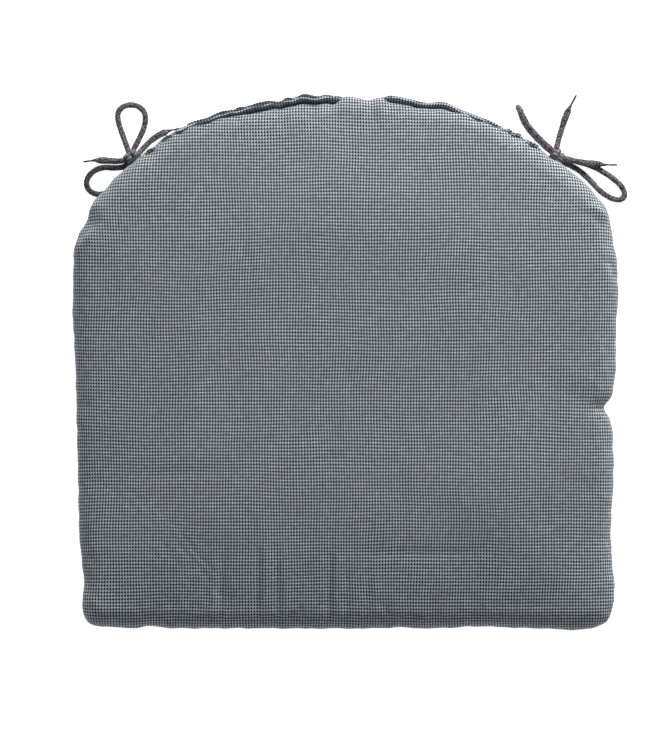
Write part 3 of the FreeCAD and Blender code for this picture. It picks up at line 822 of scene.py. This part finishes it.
def edge_profile(groove, zipped, upper, inset=0.0):
    """Depth in from the rim and height, from where the panel is sewn to EDGE_DEPTH inside."""
    if upper:
        sewn = SEAM + 0.25 + (UPPER_LEVEL - SEAM) * zipped
        depth = 0.3 + 0.9 * zipped + 7.6 * groove
        rise, reach = TOP_RIM - inset - (sewn + HEM_RISE), EDGE_DEPTH
    else:
        sewn = SEAM - 0.25 + (LOWER_LEVEL - SEAM) * zipped
        depth = 0.3 + 0.4 * zipped
        rise, reach = FLAT_BASE + inset - (sewn - HEM_RISE), LOWER_EDGE_DEPTH
    sign = 1 if upper else -1
    hem = [(depth + 3.4, sewn), (depth + 1.6, sewn + 0.05 * sign), (depth + 0.5, sewn + 0.8 * sign)]
    angles = np.linspace(0.0, np.pi / 2, 48)[1:]
    run = 1 - np.cos(angles) ** (2 / ROUNDING)
    lift = np.sin(angles) ** (2 / ROUNDING)
    curve = np.column_stack([depth + (reach - depth) * run, sewn + HEM_RISE * sign + rise * lift])
    profile = np.vstack([hem, [(depth, sewn + HEM_RISE * sign)], curve])
    profile[:, 0] += inset
    return profile


def panel(rim, upper, inset=0.0, grid=GRID, rows=STRIP_ROWS, strip_depth=STRIP_DEPTH):
    """One panel as points, faces and cloth places: a strip round the edge and a grid inside it."""
    count = len(rim.place)
    depths, heights, excess, curves = [], [], [], []
    for column in range(count):
        profile = edge_profile(rim.groove[column], rim.zipped[column], upper, inset)
        run = lengths_along(profile)
        stop = np.interp(strip_depth + inset, profile[4:, 0], run[4:])
        stations = np.linspace(0, stop, rows)
        depth = np.interp(stations, run, profile[:, 0])
        depths.append(depth)
        heights.append(np.interp(stations, run, profile[:, 1]))
        excess.append(run[-1] - stations - (profile[-1, 0] - depth))
        curves.append((profile[3:], run[-1] - run[3:] - (profile[-1, 0] - profile[3:, 0])))
    depths, heights, excess = np.array(depths), np.array(heights), np.array(excess)
    from_deepest = (np.arange(rows)[None, :] - GATHER_ROW) / (GATHER_SPREAD * rows)
    gather = rim.pucker[:, None] * np.exp(-(from_deepest**2)) * (1 + GATHER_MORE * rim.groove[:, None])
    flat = rim.at(depths - (GATHER_DEPTH if inset == 0 else 0.0) * gather)
    strip = np.concatenate([flat, heights[:, :, None]], axis=2).transpose(1, 0, 2).reshape(-1, 3)
    cloth = (flat + rim.normal[:, None, :] * excess[:, :, None]).transpose(1, 0, 2).reshape(-1, 2)
    inner = flat[:, -1, :]
    low, high = inner.min(0), inner.max(0)
    xs = np.arange(low[0] + 2.0, high[0] - 1.0, grid)
    ys = np.arange(low[1] + 2.0, high[1] - 1.0, grid)
    loose = np.array([(x, y) for y in ys for x in xs])
    gaps = np.linalg.norm(loose[:, None, :] - inner[None, :, :], axis=2)
    chosen = (gaps.min(axis=1) > 0.6 * grid) & inside(loose, inner)
    loose, gaps = loose[chosen], gaps[chosen]
    ring = [(i, (i + 1) % count) for i in range(count)]
    flat_points = [Vector(point) for point in np.vstack([inner, loose])]
    _, _, triangles, origins, _, _ = geometry.delaunay_2d_cdt(flat_points, ring, [], 1, 1e-5)
    # the strip's last row and the loose points follow each other, both here and in the panel
    last_row = (rows - 1) * count
    column, gap = gaps.argmin(axis=1), gaps.min(axis=1) + strip_depth + inset
    level, spare = np.zeros(len(loose)), np.zeros(len(loose))
    for k, (who, depth) in enumerate(zip(column, gap)):
        profile, more = curves[who]
        level[k] = np.interp(depth, profile[:, 0], profile[:, 1])
        spare[k] = np.interp(depth, profile[:, 0], more)
    if upper:
        level += TOP_CROWN * ramp(gap, CROWN_START, CROWN_REACH) * (1 - inset / CROWN_INSET)
    middle = np.column_stack([loose, level])
    middle_cloth = loose + rim.normal[column] * spare[:, None]
    points = np.vstack([strip, middle])
    cloth = np.vstack([cloth, middle_cloth])
    edge = bands(rows, count)
    filled = [tuple(last_row + origins[k][0] for k in triangle) for triangle in triangles]
    faces = flipped(edge) + filled if upper else edge + flipped(filled)
    return even_out(points, faces, len(strip)), faces, cloth


def inside(points, ring):
    """Which points are inside a closed ring."""
    result = np.zeros(len(points), bool)
    following = np.roll(ring, -1, axis=0)
    for (x0, y0), (x1, y1) in zip(ring, following):
        crosses = (y0 > points[:, 1]) != (y1 > points[:, 1])
        if crosses.any():
            at = x0 + (points[:, 1] - y0) * (x1 - x0) / (y1 - y0 if y1 != y0 else 1e-9)
            result ^= crosses & (points[:, 0] < at)
    return result


def even_out(points, faces, first, rounds=30):
    """Softens the heights of the points from this one on, so that the corners' folds blend away."""
    edges = set()
    for face in faces:
        for a, b in zip(face, face[1:] + face[:1]):
            edges.add((min(a, b), max(a, b)))
    edges = np.array(sorted(edges))
    count = np.bincount(edges.ravel(), minlength=len(points))
    points = points.copy()
    for _ in range(rounds):
        total = np.bincount(edges[:, 0], points[edges[:, 1], 2], len(points))
        total += np.bincount(edges[:, 1], points[edges[:, 0], 2], len(points))
        mean = total / count
        points[first:, 2] += 0.5 * (mean[first:] - points[first:, 2])
    return points


# ---- simulation, subdivision, creases

FABRIC_PHYSICS = {
    "quality": 6, "mass": 0.25, "tension_stiffness": 18, "compression_stiffness": 18,
    "shear_stiffness": 6, "bending_stiffness": 0.35, "air_damping": 2.0, "pin_stiffness": 0.6,
    "use_pressure": True, "uniform_pressure_force": 3.0, "shrink_min": -0.012,
}


def settle(piece, held, limit, frames=20):
    """Lets the panel's cloth swell between the points held fast; no point moves past the limit."""
    mesh = piece.data
    before = read_vertices(mesh, "co")
    group = piece.vertex_groups.new(name="held")
    for share in np.unique(held.round(2)):
        group.add([int(k) for k in np.flatnonzero(held.round(2) == share)], float(share), "REPLACE")
    cloth = piece.modifiers.new("settling", "CLOTH")
    setting = cloth.settings
    for name, value in FABRIC_PHYSICS.items():
        setattr(setting, name, value)
    setting.vertex_group_mass = "held"
    setting.effector_weights.gravity = 0.0
    cloth.collision_settings.use_collision = False
    scene = bpy.context.scene
    for frame_number in range(1, frames + 1):
        scene.frame_set(frame_number)
    after = read_vertices(piece.evaluated_get(bpy.context.evaluated_depsgraph_get()).data, "co")
    scene.frame_set(1)
    piece.modifiers.remove(cloth)
    piece.vertex_groups.clear()
    step = after - before
    far = np.linalg.norm(step, axis=1)
    capped = limit * MM * np.tanh(far / (limit * MM)) / np.maximum(far, 1e-9)
    step *= (capped * (1 - held))[:, None]
    mesh.vertices.foreach_set("co", (before + step).ravel())
    mesh.update()


def subdivided(piece):
    """Replaces the piece's mesh with one a subdivision finer."""
    finer = piece.modifiers.new("finer", "SUBSURF")
    finer.levels = finer.render_levels = 1
    finer.use_limit_surface = False
    shape = bpy.data.meshes.new_from_object(piece.evaluated_get(bpy.context.evaluated_depsgraph_get()))
    piece.modifiers.remove(finer)
    old, piece.data = piece.data, shape
    bpy.data.meshes.remove(old)
    shape.shade_smooth()


# Folds in the top panel: from, to, half width, height (below 0 is a furrow), and how far it bows
FOLDS = [
    # gathers that rise from the front edge
    ((-115, -246), (-112, -170), 3.2, -1.3, 2), ((-121, -244), (-118, -165), 5.0, 0.8, 2),
    ((-84, -246), (-82, -150), 3.0, -1.4, -2), ((-77, -244), (-75, -140), 5.0, 1.0, -2),
    ((-62, -246), (-62, -160), 2.6, -1.2, 1), ((-54, -244), (-56, -150), 4.5, 0.7, 1),
    ((-15, -246), (-10, -160), 3.0, -1.7, 2), ((-8, -246), (-4, -130), 4.5, 1.0, 2),
    ((1, -246), (2, -175), 2.6, -1.0, 0), ((20, -246), (19, -165), 3.2, -1.0, -1),
    ((27, -244), (27, -170), 4.5, 0.6, -1), ((62, -246), (60, -200), 4.0, -0.7, 0),
    ((118, -246), (116, -205), 4.0, -0.6, 1), ((-160, -246), (-158, -205), 4.5, -0.6, 1),
    # long soft ridges and furrows over the seat
    ((-88, 145), (-79, 50), 6.0, 0.8, 3), ((-135, 65), (-134, -115), 8.0, 0.8, -4),
    ((-77, 42), (-77, -40), 4.0, 0.8, 2), ((3, 0), (2, -82), 3.6, -1.0, 1),
    ((-3, -5), (-1, -135), 5.0, 0.9, 2), ((117, 22), (116, -78), 4.2, -1.0, -2),
    ((109, -60), (108, -158), 5.5, 0.9, 2), ((-200, -106), (-75, -104), 4.5, -0.6, 3),
    ((2, -176), (148, -174), 5.0, -0.7, -3), ((-45, 138), (75, 128), 9.0, -0.6, 6),
    ((-168, 142), (-150, 128), 6.0, -0.7, 2), ((60, 60), (180, 66), 7.0, -0.5, 4),
    ((-190, 20), (-100, 26), 7.0, -0.4, -3), ((-60, -60), (40, -66), 6.0, -0.4, 3),
    # the tuck in the right side, and the fabric it draws towards itself
    ((247, -43), (196, -20), 9.0, -0.9, 5), ((250, -26), (214, -4), 6.0, 0.6, 4),
    ((249, -62), (206, -50), 8.0, 0.1, -4), ((236, 0), (222, -34), 2.6, -0.9, 2),
    ((242, 8), (229, -26), 3.0, 0.9, 2), ((228, 14), (212, -22), 3.4, 0.7, 2),
    ((246, 98), (252, 70), 2.8, -1.0, 1), ((240, 92), (246, 62), 3.2, 0.8, 1),
    ((226, 146), (249, 129), 3.0, 1.4, 2), ((220, 140), (244, 122), 3.0, -1.0, 2),
    ((247, 40), (236, 20), 3.0, -0.7, 1), ((252, -130), (232, -120), 4.0, 0.7, 1),
    ((252, -168), (228, -162), 4.0, -0.7, 1), ((250, -200), (230, -214), 5.0, 0.8, 2),
    # the left shoulder and side
    ((-249, 112), (-224, 134), 4.5, -1.4, 3), ((-251, 100), (-230, 122), 5.0, 1.1, 3),
    ((-243, 140), (-226, 148), 4.0, 0.8, 1), ((-254, 62), (-236, 60), 4.5, -0.6, 1),
    ((-253, 20), (-234, 22), 5.0, 0.6, 1), ((-252, -40), (-233, -44), 4.5, -0.6, 1),
    ((-250, -180), (-226, -190), 5.0, -0.8, 2), ((-247, -215), (-228, -232), 5.0, 0.9, 2),
    # gathers below the zip's lips
    ((24, 247), (27, 214), 3.4, -1.2, 1), ((33, 246), (34, 218), 3.6, 0.9, 1),
    ((14, 247), (15, 222), 3.6, 0.9, -1), ((-30, 240), (-27, 214), 4.0, -0.7, 1),
    ((-62, 237), (-56, 210), 4.2, -0.6, 1), ((70, 236), (66, 212), 4.0, -0.7, 1),
]


def fold_depth(places, folds):
    """The height that the folds add at each place seen from above."""
    height = np.zeros(len(places))
    for start, end, width, rise, bow in folds:
        start, end = np.array(start, float), np.array(end, float)
        along = end - start
        length = np.linalg.norm(along)
        along /= length
        away = np.array([-along[1], along[0]])
        run = (places - start) @ along / length
        side = (places - start) @ away - bow * 4 * run * (1 - run)
        fade = ramp(run, -0.05, 0.22) * ramp(run, 1.08, 0.55)
        height += rise * np.exp(-((side / width) ** 2)) * fade
    return height


def rumple(piece, folds, lumps, seed):
    """Raises folds and soft uneven lumps out of a panel, along its own normals."""
    mesh = piece.data
    points, normals = read_vertices(mesh, "co") / MM, read_vertices(mesh, "normal")
    height = fold_depth(points[:, :2], folds)
    shift = Vector((seed, seed * 2.0, 0.0))
    for size, rise in lumps:
        height += rise * np.array([noise.noise(Vector(point) / size + shift) for point in points])
    level = points[:, 2]
    # a lower panel stays flat on the table, and neither panel moves at the seam
    edge = ramp(level, 27.0, 40.0) if folds else ramp(level, 0.3, 8.0) * ramp(level, 27.0, 20.0)
    points += normals * (height * edge)[:, None]
    points[:, 2] = np.maximum(points[:, 2], 0.08)
    mesh.vertices.foreach_set("co", (points * MM).ravel())
    mesh.update()


# ---- the zip's lips

LIP_SIDES = 21


def lip_shape(x, kind):
    """Centre line of one lip as root, middle and crest (depth, height), and its half thickness."""
    left, right = ramp(x, 4, -12), ramp(x, 28, 44)
    shut = 1 - np.clip(left + right, 0, 1)
    wave = 0.6 * np.sin(x / 2.7 + 1.1 * np.sin(x / 9.0)) + 0.6 * np.sin(x / 5.3 + 1.0)
    wave *= 0.45 + 0.55 * ramp(x, -130, -60)
    swing = 0.5 * np.sin(x / 4.1 + 2.0) + 0.5 * np.sin(x / 7.7)
    if kind == "fold":
        depth = 0.85 + 0.95 * np.sin(x / 3.4 + 1.3 * np.sin(x / 8.0) + 2.0) + 0.35 * wave
        return (9.6, 33.7), (4.4, 33.5), (depth, 38.4 + 0.9 * swing), 0.72
    if kind == "upper":
        depth = left * (3.7 + 1.0 * wave) + right * (2.5 + 0.8 * swing) + shut * 5.2
        height = left * (43.4 + 1.6 * swing) + right * (40.2 + 0.9 * wave) + shut * 35.6
        thick = left * 0.70 + right * 2.1 + shut * 0.8
        # past the zip's ends it is the seam's own gathered fold
        seam = ramp(x, -152, -168) + ramp(x, 140, 154)
        depth += seam * (1.5 + 1.0 * np.sin(x / 1.9 + 1.2 * np.sin(x / 5.0)) - depth)
        height += seam * (38.5 + 1.6 * np.sin(x / 2.7) - height)
        return (10.2, 34.1), (depth + 3.2, 34.4 + 0.3 * right), (depth, height), thick
    depth = left * (0.7 + 0.95 * wave) + right * (2.6 + 0.6 * swing) + shut * 2.6
    height = left * (22.5 + 0.35 * swing) + (1 - left) * 22.0
    thick = 0.92
    return (10.2, 20.9), (depth + 3.6, 20.7), (depth, height - 0.2), thick


def lip_section(root, middle, crest, thick):
    """A closed loop round the fold: out along its top, round the crest and back below."""
    root, middle, crest = np.array(root), np.array(middle), np.array(crest)
    share = np.linspace(0, 1, 8)[:, None]
    line = (1 - share) ** 2 * root + 2 * share * (1 - share) * middle + share**2 * crest
    tangent = np.gradient(line, axis=0)
    tangent /= np.linalg.norm(tangent, axis=1)[:, None]
    side = np.column_stack([tangent[:, 1], -tangent[:, 0]])
    swelling = 0.8 + (thick - 0.8) * share**2
    end_angles = np.radians([45, 90, 135, 157, 25])[[4, 0, 1, 2, 3]]
    cap = [crest + thick * (side[-1] * math.cos(a) + tangent[-1] * math.sin(a)) for a in end_angles]
    return np.vstack([line + side * swelling, cap, (line - side * swelling)[::-1]])


LIP_ENDS = {"upper": (-204, 198), "lower": (-161, 148), "fold": (-158, -2)}


def columns_between(rim, low, high):
    """The rim's columns along this stretch of the back edge, from left to right."""
    chosen = np.flatnonzero((rim.x > low) & (rim.x < high))
    return chosen[np.argsort(rim.x[chosen])]


def fabric_strip(name, points, sides, cloth, material, **options):
    """A strip along the back edge, closed at both ends, with the cover's weave on it."""
    faces = tube_faces(len(points) // sides, sides)
    piece = make_piece(name, points, faces, material, slot="cover_fabric", **options)
    write_uv(piece.data, "cloth", cloth)


def lip_piece(name, rim, kind, material, replaces):
    """One lip of the zip: a fold of the cover's fabric, puckered where it is sewn to the tape."""
    points, cloth = [], []
    for column in columns_between(rim, *LIP_ENDS[kind]):
        x = rim.x[column]
        root, middle, crest, thick = lip_shape(x, kind)
        fade = min(1.0, rim.zipped[column] * 1.2 + 0.02)
        if kind == "upper":
            fade = max(fade, 0.95 * ramp(x, -204, -190) * ramp(x, 198, 180))
        if kind == "fold":
            fade = ramp(x, -158, -135) * ramp(x, -2, -14)
        closed = np.array(root) * (1 - fade)
        crest = tuple(closed + np.array(crest) * fade)
        middle = tuple(closed + np.array(middle) * fade)
        loop = lip_section(root, middle, crest, thick * (0.35 + 0.65 * fade))
        place, normal = rim.place[column], rim.normal[column]
        run = lengths_along(loop)
        for (depth, height), along in zip(loop, run):
            points.append((*(place - normal * depth), height))
            cloth.append((x * MM, (300.0 + along) * MM))
    fabric_strip(name, points, LIP_SIDES, cloth, material, replaces=replaces)


def shield_piece(rim, material):
    """A strip of the cover's fabric behind the zip, so that the filling never shows there."""
    front, back = 11.55, 11.95
    section = [(front, height) for height in (21.0, 24.0, 27.5, 31.0, 34.5)] + [(back, 34.5), (back, 21.0)]
    points, cloth = [], []
    for column in columns_between(rim, -180, 176):
        for depth, height in section:
            points.append((*(rim.place[column] - rim.normal[column] * depth), height))
            cloth.append((rim.x[column] * MM, (350.0 + height) * MM))
    fabric_strip("zip_shield_strip", points, len(section), cloth, material, smooth=False)


# ---- the zip's coils

COIL_HALF_ANGLE, COIL_DEPTH = 18.6, 8.05
COIL_PITCH, COIL_STEPS = 1.35, 10  # the length of one turn, and the points in it
COIL_REACH, COIL_RISE, COIL_LEVEL = 0.66, 1.08, 1.88  # half a turn's size, and its height from the seam
WIRE, WIRE_SIDES = 0.36, 6  # the filament's radius


def coil_piece(word, sign, material):
    """One side of the zip: a monofilament wound into a long flat coil along the arch."""
    radius = ARCH_RADIUS - COIL_DEPTH
    length = 2 * math.radians(COIL_HALF_ANGLE) * radius
    steps = int(length / COIL_PITCH) * COIL_STEPS
    angle = np.radians(COIL_HALF_ANGLE * np.linspace(-1, 1, steps + 1))
    spin = 2 * np.pi * np.arange(steps + 1) / COIL_STEPS + (0.0 if sign > 0 else np.pi)
    reach = radius + COIL_REACH * np.cos(spin)
    level = SEAM + sign * (COIL_LEVEL + COIL_RISE * np.sin(spin))
    line = np.column_stack([reach * np.sin(angle), ARCH_CENTRE[1] + reach * np.cos(angle), level])
    points = line[:, None, :] + spokes(line, WIRE_SIDES) * WIRE
    make_piece(
        f"zip_coil_{word}_filament", points.reshape(-1, 3), tube_faces(len(line), WIRE_SIDES), material,
        slot="zip_coil", replaces=[f"zip_coil_{word}"],
    )


# ---- the filling

BATT_INSETS = 3.2, 11.6  # how far inside the cover the wadding starts and ends
BATT_MESH = {"grid": 9.0, "rows": 7, "strip_depth": 10.0}


def batt(word, rim, material):
    """A layer of filling between two insets from the cover, sewn edge and all."""
    upper = word == "top"
    (outer, outer_faces, _), (inner, inner_faces, _) = [
        panel(rim, upper, inset, **BATT_MESH) for inset in BATT_INSETS
    ]
    count = len(rim.place)
    shift = len(outer)
    faces = outer_faces + flipped([[k + shift for k in face] for face in inner_faces])
    for i in range(count):
        after = (i + 1) % count
        quad = (i, after, after + shift, i + shift)
        faces.append(quad if upper else tuple(reversed(quad)))
    make_piece(
        f"wadding_{word}_batt", np.vstack([outer, inner]), faces, material, slot="fibre_wadding",
        replaces=[f"wadding_{word}"],
    )


def foam_block(rim, material):
    """The foam core: a slab cut to the pattern, its edges rounded where the wadding presses."""
    count = len(rim.place)
    levels = [
        (17.0, 12.4), (13.6, 13.2), (12.4, 16.0), (12.2, 22.0), (12.2, 33.0), (12.6, 38.5),
        (14.6, 41.6), (19.0, 42.8),
    ]
    points, ring = [], [(i, (i + 1) % count) for i in range(count)]
    for depth, height in levels:
        for place, normal in zip(rim.place, rim.normal):
            points.append((*(place - normal * depth), height))
    faces = flipped(bands(len(levels), count))
    for row, up in ((0, False), (len(levels) - 1, True)):
        flat = [Vector(point[:2]) for point in points[row * count:(row + 1) * count]]
        _, _, triangles, origins, _, _ = geometry.delaunay_2d_cdt(flat, ring, [], 1, 1e-5)
        cap = [tuple(row * count + origins[k][0] for k in triangle) for triangle in triangles]
        faces += cap if up else flipped(cap)
    make_piece("foam_core_block", points, faces, material, slot="foam", replaces=["foam_core"])


# ---- the whole cover

# the front corners are stuffed tight, so the cloth doesn't wrinkle there
CALM_CORNERS = np.array([(-232.0, -228.0), (236.0, -228.0)])
CALM_REACH, CALM_HOLD = 92.0, 0.93
# how fast the simulation holds the strip round the edge, row by row from the seam, and the rest
HELD_ROWS, HELD_INSIDE = (1.0, 1.0, 1.0, 1.0, 0.8, 0.5, 0.3, 0.2, 0.15, 0.12), 0.08
SETTLING = 0.5  # how far the simulation may move a point
# soft uneven lumps: size and height
TOP_LUMPS, BASE_LUMPS = [(110.0, 1.6), (42.0, 0.7), (17.0, 0.22)], [(60.0, 1.2), (24.0, 0.5)]
LIP_COLUMNS, FILLING_COLUMNS = 1900, 260  # vertical strips round the edge, for the lips and the filling


def holding(points):
    """How fast the simulation holds each point of the top panel, from 0 to 1."""
    held = np.full(len(points), HELD_INSIDE)
    for row, share in enumerate(HELD_ROWS):
        held[row * COLUMNS:(row + 1) * COLUMNS] = share
    for corner in CALM_CORNERS:
        away = np.linalg.norm(points[:, :2] - corner, axis=1)
        held = np.maximum(held, CALM_HOLD * np.exp(-((away / CALM_REACH) ** 2)))
    return held


def panel_piece(word, rim, fabric):
    """One sewn panel of the cover, before its subdivision, and its points."""
    points, faces, cloth = panel(rim, word == "top")
    node = f"cover_{word}_panel"
    piece = make_piece(f"cover_{word}_cloth", points, faces, fabric, slot="cover_fabric", replaces=[node])
    write_uv(piece.data, "cloth", cloth * MM)
    return piece, points


def make_cover(fabric):
    rim = Rim(COLUMNS)
    top, top_points = panel_piece("top", rim, fabric)
    settle(top, holding(top_points), SETTLING)
    subdivided(top)
    rumple(top, FOLDS, TOP_LUMPS, 3.0)
    base, _ = panel_piece("bottom", rim, fabric)
    subdivided(base)
    rumple(base, [], BASE_LUMPS, 8.0)
    fine = Rim(LIP_COLUMNS)
    lip_piece("zip_lip_upper", fine, "upper", fabric, ["zip_facing_upper"])
    lip_piece("zip_lip_fold", fine, "fold", fabric, [])
    shield_piece(rim, fabric)
    lip_piece("zip_lip_lower", fine, "lower", fabric, ["zip_facing_lower"])


def make_filling():
    coarse = Rim(FILLING_COLUMNS)
    # the filling stops short of the zip, past both its ends, so that it never shows there
    coarse.zipped = ramp(coarse.x, -180, -163) * ramp(coarse.x, 175, 158)
    wadding = wadding_material()
    for word in ("top", "bottom"):
        batt(word, coarse, wadding)
    foam_block(coarse, foam_material())


def finish_nodes():
    """The CAD pieces that keep their own shape get their materials."""
    tape, metal, thread = tape_material(), metal_material(), thread_material()
    for name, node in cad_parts.items():
        look = tape if "tape" in name else thread if name.endswith("bartack") else metal
        node.data.materials.clear()
        node.data.materials.append(look)


# ---- assembly of the scene

make_camera()
make_light()
make_ties()
finish_nodes()
make_cover(fabric_material())
make_filling()
coil_look = coil_material()
coil_piece("upper", 1, coil_look)
coil_piece("lower", -1, coil_look)

# ---- floor and finish

reach = 3000  # how far the table goes each way
table_corners = [(-reach, -reach, 0), (reach, -reach, 0), (reach, reach, 0), (-reach, reach, 0)]
table_top = make_piece("white_table_top", table_corners, [(0, 1, 2, 3)], floor_material())
